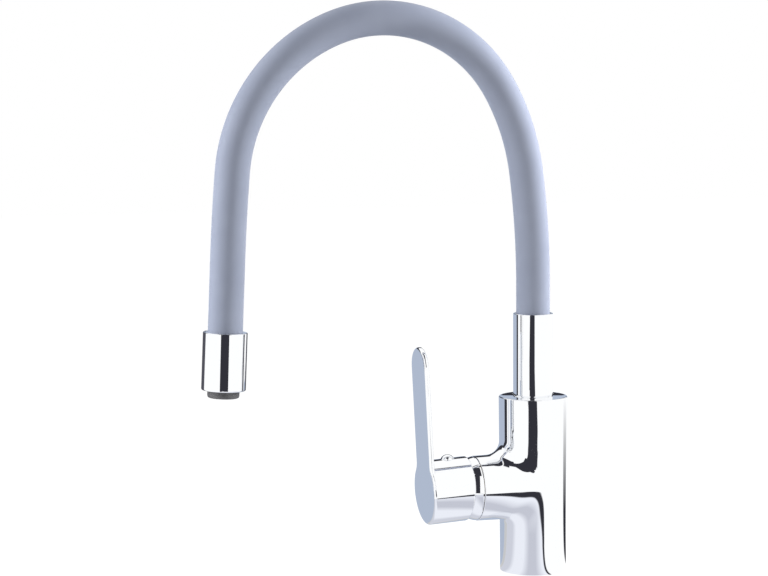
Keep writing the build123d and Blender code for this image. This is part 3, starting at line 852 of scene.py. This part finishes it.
    def trim(self, shell: bpy.types.Object) -> None:
        """Cut the shell at its rims and clear what lies inside.

        Args:
            shell: The active piece, longer than the body at each end.
        """
        bpy.ops.object.mode_set(mode="EDIT")
        cuts = (
            ((0.0, 0.0, (self.height - self.top_edge) * MM), (0.0, 0.0, 1.0)),
            ((0.0, 0.0, 0.0), (0.0, 0.0, -1.0)),
            ((-(self.branch_end - self.mouth_edge) * MM, 0.0, 0.0), (-1.0, 0.0, 0.0)),
        )
        for place, normal in cuts:
            bpy.ops.mesh.select_all(action="SELECT")
            bpy.ops.mesh.bisect(plane_co=place, plane_no=normal, clear_outer=True)
        mesh = bmesh.from_edit_mesh(shell.data)
        points = np.array([tuple(face.calc_center_median()) for face in mesh.faces]) / MM
        deep = self.depth(points) < -self.skin
        for face, hidden in zip(list(mesh.faces), deep):
            face.select_set(bool(hidden))
        bmesh.update_edit_mesh(shell.data)
        if deep.any():
            bpy.ops.mesh.delete(type="FACE")
        bpy.ops.object.mode_set(mode="OBJECT")

    def inner_faces(self) -> bpy.types.Object:
        """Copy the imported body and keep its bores, cavities and rims.

        Returns:
            The copy without its outside.
        """
        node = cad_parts["body_casting"]
        inner = bpy.data.objects.new("body_inside", node.data.copy())
        bpy.context.scene.collection.objects.link(inner)
        inner.data.transform(node.matrix_world)
        deselect()
        bpy.context.view_layer.objects.active = inner
        inner.select_set(True)
        bpy.ops.object.mode_set(mode="EDIT")
        bpy.ops.mesh.select_all(action="SELECT")
        bpy.ops.mesh.remove_doubles(threshold=TINY)
        mesh = bmesh.from_edit_mesh(inner.data)
        mesh.normal_update()
        for face in mesh.faces:
            face.select_set(self.is_outside(face))
        bmesh.update_edit_mesh(inner.data)
        bpy.ops.mesh.delete(type="FACE")
        bpy.ops.object.mode_set(mode="OBJECT")
        return inner

    def is_outside(self, face: bmesh.types.BMFace) -> bool:
        """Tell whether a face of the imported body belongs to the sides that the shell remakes.

        Args:
            face: Face of the merged copy.

        Returns:
            True where it lies on the outside, faces outwards and is no part of a rim.
        """
        ends = np.array([tuple(vertex.co) for vertex in face.verts]) / MM
        x, y, z = ends.mean(axis=0)
        upright, branch, _ = self.forms(ends)
        near = (np.minimum(upright, branch) > -self.inner_skin).all()
        from_upright = Vector((x, y, 0.0)).normalized().dot(face.normal)
        from_branch = Vector((0.0, y, z - self.branch_height)).normalized().dot(face.normal)
        outward = max(from_upright, from_branch) > self.facing_out
        under_top = ends[:, 2].max() < self.height - self.top_edge + self.rim_slack
        behind_mouth = ends[:, 0].min() > -(self.branch_end - self.mouth_edge) - self.rim_slack
        return bool(near and outward and under_top and behind_mouth)

    def soften(self, mesh: bpy.types.Mesh, points: np.ndarray, normals: np.ndarray) -> np.ndarray:
        """Even out the normals where the two forms run together at the sides.

        Args:
            mesh: Mesh of the joined body.
            points: Places of its vertices in millimetres.
            normals: Normals of its vertices.

        Returns:
            Unit normals.
        """
        upright, branch, alike = self.forms(points)
        zone = np.clip(2.0 - np.abs(upright - branch) / self.soften_reach, 0.0, 1.0)
        lively = np.clip((alike - self.soften_from) / self.soften_over, 0.0, 1.0)
        lively = self.soften_least + (1.0 - self.soften_least) * lively
        weight = (zone * lively)[:, None] * self.soften_share
        ends = np.empty(len(mesh.edges) * 2, dtype=np.int64)
        mesh.edges.foreach_get("vertices", ends)
        first, second = ends.reshape(-1, 2).T
        count = np.bincount(ends, minlength=len(points))[:, None]
        for _ in range(self.soften_rounds):
            normals = unit(normals)
            around = np.zeros_like(normals)
            np.add.at(around, first, normals[second])
            np.add.at(around, second, normals[first])
            normals = normals + weight * (around / np.maximum(count, 1) - normals)
        return unit(normals)

    def shade(self, mesh: bpy.types.Mesh) -> None:
        """Give the blended outside the form's softened normals and keep the others.

        Args:
            mesh: Mesh of the joined body.
        """
        points = places_of(mesh)
        close = np.abs(self.depth(points)) < self.on_form
        soft = self.soften(mesh, points, self.slope(points))
        corners = np.empty(len(mesh.loops), dtype=np.int64)
        mesh.loops.foreach_get("vertex_index", corners)
        normals = np.array([tuple(corner.vector) for corner in mesh.corner_normals])
        agree = (normals * soft[corners]).sum(axis=1) > self.agreeing
        use = close[corners] & agree
        normals[use] = soft[corners][use]
        mesh.normals_split_custom_set([tuple(normal) for normal in normals])


# Studio


@dataclass(frozen=True)
class Viewpoint:
    """Camera at the photograph's viewing angle."""

    turn: float = 18.0
    pitch: float = 5.7
    roll: float = -0.33
    place: Point = (-0.66306, -1.67719, 0.39523)
    lens: float = 112.5
    sensor: float = 36.0
    clip: Span = (0.05, 50.0)

    def frame(self) -> Matrix:
        """The camera's axes and place as a matrix."""
        turn, pitch, roll = (math.radians(angle) for angle in (self.turn, self.pitch, self.roll))
        right = Vector((math.cos(turn), -math.sin(turn), 0.0))
        level = Vector((math.sin(turn), math.cos(turn), 0.0))
        upward = Vector((0.0, 0.0, 1.0))
        ahead = math.cos(pitch) * level - math.sin(pitch) * upward
        top = math.cos(pitch) * upward + math.sin(pitch) * level
        rolled_right = math.cos(roll) * right + math.sin(roll) * top
        rolled_top = math.cos(roll) * top - math.sin(roll) * right
        axes = Matrix((rolled_right, rolled_top, -ahead)).transposed().to_4x4()
        return Matrix.Translation(self.place) @ axes

    def set_up(self) -> None:
        """Create the camera and make it the scene's."""
        lens = bpy.data.cameras.new("camera")
        lens.lens, lens.sensor_width = self.lens, self.sensor
        lens.clip_start, lens.clip_end = self.clip
        camera = bpy.data.objects.new("camera", lens)
        bpy.context.scene.collection.objects.link(camera)
        camera.matrix_world = self.frame()
        bpy.context.scene.camera = camera


@dataclass(frozen=True)
class SoftLamp:
    """One large diffused lamp."""

    name: str
    place: Point
    aim: Point
    size: float
    power: float

    def set_up(self) -> None:
        """Hang the lamp and aim it."""
        light = bpy.data.lights.new(self.name, "AREA")
        light.shape, light.size, light.energy = "DISK", self.size, self.power
        lamp = bpy.data.objects.new(self.name, light)
        bpy.context.scene.collection.objects.link(lamp)
        lamp.location = self.place
        course = Vector(self.aim) - Vector(self.place)
        lamp.rotation_euler = course.to_track_quat("-Z", "Y").to_euler()
        lamp.visible_glossy = False


@dataclass(frozen=True)
class TentPlan:
    """A place in the tent as sockets, seen from the tap.

    It holds the way to the right and to the front, the distance, and the bearing, which is 0
    towards the front and grows to the right.
    """

    right: Socket
    front: Socket
    reach: Socket
    bearing: Socket


@dataclass(frozen=True)
class Panel:
    """Upright glowing panel in the tent that the metal alone sees: a painted reflection that lights
    nothing.

    Its span runs to the right of the tap and its rise upwards, it hangs in front of the tap,
    and where its left edge isn't straight, ramps over the height give that edge.
    """

    name: str
    span: Span
    rise: Span
    front: float
    colour: Colour
    edge: tuple[Ramp, ...] = ()


@dataclass(frozen=True)
class Studio:
    """White tent with a grey-blue back, a camera opening, seams and a pale floor.

    The tent's pattern, the floor's pattern and the panels glow only in the metal's
    reflections and light nothing: they are painted reflections. Lengths are metres, and
    bearings and heights on the wall are degrees.
    """

    # Colours and light
    white: Colour = (1.1, 1.1, 1.1)
    back: Colour = (0.465, 0.53, 0.655)
    dark: Colour = (0.035, 0.035, 0.045)
    grey: Colour = (0.09, 0.09, 0.11)
    panel_shade: Colour = (0.78, 0.82, 0.92)
    seam_shade: Colour = (0.25, 0.26, 0.3)
    bright_card: Colour = (0.93, 0.95, 1.02)
    dull_card: Colour = (0.607, 0.622, 0.70)
    floor_paper: Colour = (0.55, 0.55, 0.55)
    plain_light: Colour = (0.8, 0.8, 0.8)
    clear: Colour = (1.0, 1.0, 1.0)
    dome: float = 0.88
    clear_floor: float = 1.17
    clear_share: float = 0.8
    floor_size: float = 8.0
    floor_drop: float = 0.0002
    camera_turn: float = 18.0

    # Wall
    fold_left: Band = (-114.0, -100.0, 0.6)
    panel_left: Band = (-100.0, -84.0, 1.0)
    seam_left: Band = (-84.0, -78.0, 0.6)
    back_left: Band = (-400.0, -114.0, 0.6)
    back_right: Band = (150.0, 400.0, 2.0)
    back_band: Band = (9.0, 30.0, 0.5)
    wall_low: Ramp = (19.0, 21.0, 1.0, 0.0)

    # Roof, with the places of its marks divided by their height
    level: float = 0.001
    roof_high: Band = (0.5, 2.0, 0.05)
    roof_seam: Band = (0.13, 0.19, 0.015)
    roof_across: Band = (-0.36, 0.30, 0.02)
    roof_along: Band = (0.05, 2.0, 0.02)

    # Card on the floor round the tap, a painted reflection that is darker straight in front of it
    card_sides: Band = (-100.0, 31.0, 0.7)
    card_rim: Ramp = (0.306, 0.316, 1.0, 0.0)
    bright_left: Ramp = (-74.0, -60.0, 0.2, 0.95)
    bright_left_end: Ramp = (-32.0, -15.0, 1.0, 0.0)
    bright_middle: Ramp = (-32.0, -15.0, 0.0, 1.0)
    bright_far: Ramp = (0.17, 0.24, 0.0, 0.5)
    bright_right: Ramp = (4.0, 21.0, 0.0, 1.0)

    # Shadow along the card's right edge
    shadow_reach: float = 0.29
    shadow_left: float = 27.0
    shadow_bend: float = 15.0
    bend_power: float = 3.5
    shadow_blur: float = 0.8
    blur_growth: float = 3.0
    blur_power: float = 4.0
    shadow_right: Ramp = (31.2, 33.2, 1.0, 0.0)

    # Rest of the floor, with the gap of the camera opening
    corner_right: float = 0.02
    corner_front: float = 0.575
    corner_rim: Ramp = (0.116, 0.124, 1.0, 0.0)
    gap_left: tuple[Ramp, ...] = ((0.55, 0.75, -0.187, -0.25), (0.75, 0.863, 0.0, -0.12))
    gap_blur: Ramp = (-0.006, 0.006, 0.0, 1.0)
    floor_fold_left: Ramp = (0.3, 0.34, 0.45, 1.0)
    floor_fold_right: Band = (120.0, 148.0, 2.0)
    floor_fold_end: Ramp = (0.25, 0.9, 1.0, 0.0)
    floor_back_right: Band = (165.0, 400.0, 2.0)

    # Left edges of the two large panels over their height
    opening_edge: tuple[Ramp, ...] = (
        (0.04, 0.1, -0.392, -0.325),
        (0.15, 0.42, 0.0, 0.035),
        (0.5, 0.9, 0.0, -0.08),
    )
    sheet_edge: tuple[Ramp, ...] = (
        (0.055, 0.1, 0.088, 0.045),
        (0.25, 0.4, 0.0, -0.03),
        (0.45, 0.9, 0.0, 0.12),
    )
    paper_blur: Ramp = (-0.003, 0.003, 0.0, 1.0)

    def plan(self, sheet: ShaderSheet, x: Socket, y: Socket) -> TentPlan:
        """Place of a point or a direction as seen from the tap.

        Args:
            sheet: Shader sheet.
            x: Socket of the x coordinate.
            y: Socket of the y coordinate.

        Returns:
            The place.
        """
        turn = math.radians(self.camera_turn)
        sine, cosine = math.sin(turn), math.cos(turn)
        right = sheet.result("SUBTRACT", sheet.product(x, cosine), sheet.product(y, sine))
        front = sheet.result("ADD", sheet.product(x, -sine), sheet.product(y, -cosine))
        bearing = sheet.product(sheet.result("ARCTAN2", right, front), math.degrees(1.0))
        return TentPlan(right, front, sheet.length(right, front), bearing)

    def world(self) -> None:
        """Set the tent: a painted reflection pattern for the metal, white for the camera, plain
        level for the rest.
        """
        world = bpy.data.worlds.new("tent")
        bpy.context.scene.world = world
        world.use_nodes = True
        sheet = ShaderSheet(world.node_tree)
        parts = sheet.add("SeparateXYZ")
        sheet.feed(sheet.add("TexCoord").outputs["Generated"], parts.inputs[0])
        x, y, z = parts.outputs
        plan = self.plan(sheet, x, y)
        height = sheet.product(sheet.result("ARCSINE", z), math.degrees(1.0))
        colour = self.wall(sheet, plan.bearing, height)
        tent = sheet.light("Background", self.roof(sheet, colour, plan, y, z))
        plain = sheet.light("Background", self.plain_light, self.dome)
        clear = sheet.light("Background", self.clear)
        # The tent's pattern reaches only the metal's reflection rays: a painted reflection that
        # lights nothing.
        lit = sheet.choose(sheet.mirrored(), plain, tent)
        to_camera = sheet.add("LightPath").outputs["Is Camera Ray"]
        seen = sheet.choose(to_camera, lit, clear)
        sheet.feed(seen, sheet.add("OutputWorld").inputs[0])

    def wall(self, sheet: ShaderSheet, bearing: Socket, height: Socket) -> Socket:
        """Colour of the tent's wall, a painted reflection that the metal alone sees.

        Args:
            sheet: Shader sheet.
            bearing: Socket of the bearing.
            height: Socket of the height above the horizon.

        Returns:
            Socket of the colour.
        """
        low = sheet.span(height, *self.wall_low)
        behind = sheet.highest(
            sheet.between(bearing, *self.back_left), sheet.between(bearing, *self.back_right)
        )
        colour = self.white
        for band, shade in (
            (self.panel_left, self.panel_shade),
            (self.seam_left, self.seam_shade),
            (self.fold_left, self.dark),
        ):
            mask = sheet.product(sheet.between(bearing, *band), low)
            colour = sheet.blend(mask, colour, shade)
        colour = sheet.blend(sheet.product(behind, low), colour, self.back)
        top = sheet.product(sheet.between(height, *self.back_band), behind)
        return sheet.blend(top, colour, self.dark)

    def roof(
        self, sheet: ShaderSheet, colour: Socket, plan: TentPlan, y: Socket, z: Socket
    ) -> Socket:
        """Add the painted reflections of the seam overhead and of the end of the camera opening in
        the roof.

        Args:
            sheet: Shader sheet.
            colour: Socket of the colour so far.
            plan: Direction as a place in the tent.
            y: Socket of the direction's y.
            z: Socket of the direction's z.

        Returns:
            Socket of the colour.
        """
        rise = sheet.highest(z, self.level)
        seam = sheet.between(sheet.result("DIVIDE", y, rise), *self.roof_seam)
        across = sheet.between(sheet.result("DIVIDE", plan.right, rise), *self.roof_across)
        along = sheet.between(sheet.result("DIVIDE", plan.front, rise), *self.roof_along)
        marks = sheet.highest(seam, sheet.product(across, along))
        mask = sheet.product(marks, sheet.between(z, *self.roof_high))
        return sheet.blend(mask, colour, self.dark)

    def card(self, sheet: ShaderSheet, plan: TentPlan) -> Socket:
        """Painted reflection of the card that lies round the tap, duller straight in front of it.

        Args:
            sheet: Shader sheet.
            plan: Place on the floor.

        Returns:
            Socket of the colour.
        """
        bearing = plan.bearing
        left = sheet.product(
            sheet.span(bearing, *self.bright_left), sheet.span(bearing, *self.bright_left_end)
        )
        middle = sheet.product(
            sheet.span(plan.reach, *self.bright_far), sheet.span(bearing, *self.bright_middle)
        )
        right = sheet.span(bearing, *self.bright_right)
        # Brightness of the card's painted reflection, by bearing and distance.
        brightness = sheet.highest(sheet.highest(left, middle), right)
        return sheet.blend(brightness, self.dull_card, self.bright_card)

    def fold_shadow(self, sheet: ShaderSheet, plan: TentPlan) -> Socket:
        """Mask of the dark shadow at the card's right edge, a line that widens away from the tap.

        Args:
            sheet: Shader sheet.
            plan: Place on the floor.

        Returns:
            Socket of the mask.
        """
        share = sheet.result("DIVIDE", plan.reach, self.shadow_reach)
        bend = sheet.product(sheet.result("POWER", share, self.bend_power), self.shadow_bend)
        left_edge = sheet.result("SUBTRACT", self.shadow_left, bend)
        growth = sheet.product(sheet.result("POWER", share, self.blur_power), self.blur_growth)
        blur = sheet.result("ADD", self.shadow_blur, growth)
        past = sheet.result("DIVIDE", sheet.result("SUBTRACT", plan.bearing, left_edge), blur)
        inside = sheet.span(past, -1.0, 1.0, 0.0, 1.0)
        before = sheet.span(plan.bearing, *self.shadow_right)
        near = sheet.span(plan.reach, *self.card_rim)
        return sheet.product(sheet.product(inside, before), near)

    def floor_opening(self, sheet: ShaderSheet, plan: TentPlan) -> Socket:
        """Mask of the dark gap where the camera opening meets the floor, with one rounded corner.

        Args:
            sheet: Shader sheet.
            plan: Place on the floor.

        Returns:
            Socket of the mask.
        """
        aside = sheet.highest(sheet.result("SUBTRACT", plan.right, self.corner_right), 0.0)
        short = sheet.highest(sheet.result("SUBTRACT", self.corner_front, plan.front), 0.0)
        corner = sheet.span(sheet.length(aside, short), *self.corner_rim)
        past = sheet.result("SUBTRACT", plan.right, sheet.line(plan.front, self.gap_left))
        return sheet.product(corner, sheet.span(past, *self.gap_blur))

    def floor_pattern(self, sheet: ShaderSheet) -> Socket:
        """Painted reflection of the floor, which only the metal mirrors, with the card, the folds
        and the opening.

        Args:
            sheet: Shader sheet.

        Returns:
            Socket of the colour.
        """
        parts = sheet.add("SeparateXYZ")
        sheet.feed(sheet.add("TexCoord").outputs["Object"], parts.inputs[0])
        x, y, _ = parts.outputs
        plan = self.plan(sheet, x, y)
        bearing, reach = plan.bearing, plan.reach
        on_card = sheet.product(
            sheet.between(bearing, *self.card_sides), sheet.span(reach, *self.card_rim)
        )
        left_fold = sheet.product(
            sheet.between(bearing, *self.fold_left), sheet.span(reach, *self.floor_fold_left)
        )
        right_fold = sheet.product(
            sheet.between(bearing, *self.floor_fold_right), sheet.span(reach, *self.floor_fold_end)
        )
        behind = sheet.highest(
            sheet.between(bearing, *self.back_left), sheet.between(bearing, *self.floor_back_right)
        )
        colour = self.white
        for mask, shade in (
            (self.floor_opening(sheet, plan), self.dark),
            (on_card, self.card(sheet, plan)),
            (self.fold_shadow(sheet, plan), self.dark),
            (left_fold, self.dark),
            (right_fold, self.dark),
            (behind, self.back),
        ):
            colour = sheet.blend(mask, colour, shade)
        return colour

    def floor(self) -> None:
        """Lay the pale floor, which keeps the tap's shadow and shows the metal a painted reflection
        pattern.
        """
        deselect()
        bpy.ops.mesh.primitive_plane_add(
            size=self.floor_size, location=(0.0, 0.0, -self.floor_drop)
        )
        plane = bpy.context.object
        plane.name = "floor"
        made, sheet = new_material("pale_floor")
        # The pattern glows for the metal's reflection rays alone: a painted reflection that lights
        # nothing.
        pattern = sheet.light("Emission", self.floor_pattern(sheet))
        clear = sheet.light("Emission", self.clear, self.clear_floor)
        paper = sheet.add("BsdfDiffuse")
        sheet.feed(self.floor_paper, paper.inputs[0])
        to_camera = sheet.add("LightPath").outputs["Is Camera Ray"]
        seen = sheet.choose(sheet.product(to_camera, self.clear_share), paper.outputs[0], clear)
        both = sheet.choose(sheet.mirrored(), seen, pattern)
        sheet.feed(both, sheet.add("OutputMaterial").inputs[0])
        plane.data.materials.append(made)
        deselect()

    def panels(self) -> tuple[Panel, ...]:
        """Panels of the tent, all painted reflections: the camera opening, the sheet before it and
        the small cards.

        The small cards hang close to the cup, the lever and the bonnet and paint the thin dark
        and white edges that their chrome reflects.

        Returns:
            Every panel, the largest first.
        """
        cup_slit, cup_left, cup_right = (0.13, 0.1915), (0.11, 0.195), (0.12, 0.195)
        slit_front, cup_front = 0.12, 0.045
        return (
            Panel("camera_opening", (-0.42, 0.5), (0.0, 2.2), 0.863, self.dark, self.opening_edge),
            Panel("front_sheet", (-0.05, 0.6), (0.02, 0.95), 0.42, self.white, self.sheet_edge),
            Panel("cup_slit_left", (-0.2392, -0.2316), cup_slit, slit_front, self.dark),
            Panel("cup_slit_right", (-0.2095, -0.188), cup_slit, slit_front, self.white),
            Panel("cup_side_left", (-0.42, -0.32), cup_left, cup_front, self.white),
            Panel("cup_edge_left", (-0.32, -0.2430), cup_left, cup_front, self.grey),
            Panel("cup_edge_right", (-0.2125, -0.189), cup_right, cup_front, self.grey),
            Panel("cup_line_right", (-0.163, -0.132), cup_right, cup_front, self.grey),
            Panel("lever_side", (-0.235, -0.13), (0.05, 0.14), 0.005, self.back),
            Panel("lever_front", (-0.101, -0.069), (0.078, 0.168), 0.08, self.white),
            Panel("bonnet_side", (-0.0405, -0.029), (0.06, 0.13), 0.075, self.white),
        )

    def hang(self, panel: Panel) -> None:
        """Hang a panel, with its mesh placed and its object at the origin.

        Args:
            panel: The panel.
        """
        turn = math.radians(self.camera_turn)
        to_right = Vector((math.cos(turn), -math.sin(turn), 0.0))
        to_front = Vector((-math.sin(turn), -math.cos(turn), 0.0))
        (left, right), (foot, top) = panel.span, panel.rise
        middle = to_right * (left + right) / 2 + to_front * panel.front
        middle += Vector((0.0, 0.0, (foot + top) / 2))
        deselect()
        bpy.ops.mesh.primitive_plane_add(size=1.0, location=middle)
        sheet = bpy.context.object
        sheet.name = panel.name
        sheet.scale = (top - foot, right - left, 1.0)
        sheet.rotation_euler = to_front.to_track_quat("-Z", "X").to_euler()
        bpy.ops.object.transform_apply(location=True, rotation=True, scale=True)
        # Seen by reflection rays alone, the panel lights nothing and casts no shadow: a painted
        # reflection.
        sheet.visible_camera = sheet.visible_diffuse = sheet.visible_shadow = False
        sheet.data.materials.append(self.paper(panel))
        deselect()

    def paper(self, panel: Panel) -> bpy.types.Material:
        """Glowing paper of a panel, clear to the left of its edge where it has one.

        Args:
            panel: The panel.

        Returns:
            The material.
        """
        made, sheet = new_material(panel.name)
        surface = sheet.light("Emission", panel.colour)
        if panel.edge:
            parts = sheet.add("SeparateXYZ")
            sheet.feed(sheet.add("TexCoord").outputs["Object"], parts.inputs[0])
            x, y, z = parts.outputs
            edge = sheet.line(z, panel.edge)
            past = sheet.result("SUBTRACT", self.plan(sheet, x, y).right, edge)
            clear = sheet.add("BsdfTransparent").outputs[0]
            surface = sheet.choose(sheet.span(past, *self.paper_blur), clear, surface)
        sheet.feed(surface, sheet.add("OutputMaterial").inputs[0])
        return made

    def lamps(self) -> tuple[SoftLamp, ...]:
        """The soft lamps at the sides."""
        return (
            SoftLamp("right_lamp", (0.60, -0.12, 0.52), (0.0, 0.0, 0.3), 0.4, 8.2),
            SoftLamp("left_lamp", (-1.02, 0.18, 0.47), (-0.23, 0.0, 0.27), 0.5, 7.4),
        )

    def set_up(self) -> None:
        """Put up the tent, the floor, the panels and the lamps."""
        self.world()
        self.floor()
        for panel in self.panels():
            self.hang(panel)
            LOG.info("hung %s", panel.name)
        for lamp in self.lamps():
            lamp.set_up()
            LOG.info("hung %s", lamp.name)


# Whole tap


def finishes() -> dict[str, bpy.types.Material]:
    """Materials by the record's slot names.

    Returns:
        One material for each slot.
    """
    plain = {
        Slot.BRASS: PlainFinish("turned_brass", (0.72, 0.55, 0.28), (0.62, 0.46, 0.22), 1.0, 0.3),
        Slot.STEEL: PlainFinish("zinc_steel", (0.60, 0.60, 0.61), (0.5, 0.5, 0.52), 1.0, 0.36),
        Slot.SEAL: PlainFinish(
            "seal_rubber", (0.03, 0.03, 0.032), (0.045, 0.045, 0.045), 0.0, 0.55
        ),
        Slot.CERAMIC: PlainFinish(
            "lapped_ceramic", (0.85, 0.85, 0.82), (0.8, 0.8, 0.78), 0.0, 0.25
        ),
        Slot.CARTRIDGE: PlainFinish(
            "cartridge_plastic", (0.78, 0.78, 0.76), (0.72, 0.72, 0.7), 0.0, 0.45
        ),
        Slot.AERATOR: PlainFinish(
            "aerator_plastic", (0.12, 0.12, 0.125), (0.09, 0.09, 0.095), 0.0, 0.42
        ),
        Slot.HOSE: PlainFinish("hose_plastic", (0.62, 0.62, 0.6), (0.55, 0.55, 0.53), 0.0, 0.5),
    }
    made = {slot.value: finish.material() for slot, finish in plain.items()}
    made[Slot.CHROME.value] = ChromePlate().material()
    made[Slot.SILICONE.value] = SiliconeSkin().material()
    return made


def dress_nodes(materials: dict[str, bpy.types.Material]) -> None:
    """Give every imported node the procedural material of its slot.

    Args:
        materials: Materials by slot name.
    """
    for name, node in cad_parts.items():
        for slot in node.material_slots:
            slot.material = materials[slot.material.name.split(".")[0]]
        LOG.info("dressed %s", name)


def main() -> None:
    """Build and dress the tap and set up the studio."""
    logging.basicConfig(level=logging.INFO, format="%(message)s")
    bpy.context.scene.view_settings.view_transform = "Standard"
    Viewpoint().set_up()
    materials = finishes()
    dress_nodes(materials)
    body = BodyShell().build(materials[Slot.CHROME.value])
    LOG.info("built %s", body.name)
    silicone, plastic = materials[Slot.SILICONE.value], materials[Slot.HOSE.value]
    for piece in FlexibleSpout().build(silicone, plastic):
        LOG.info("built %s", piece.name)
    Studio().set_up()


if __name__ == "__main__":
    main()
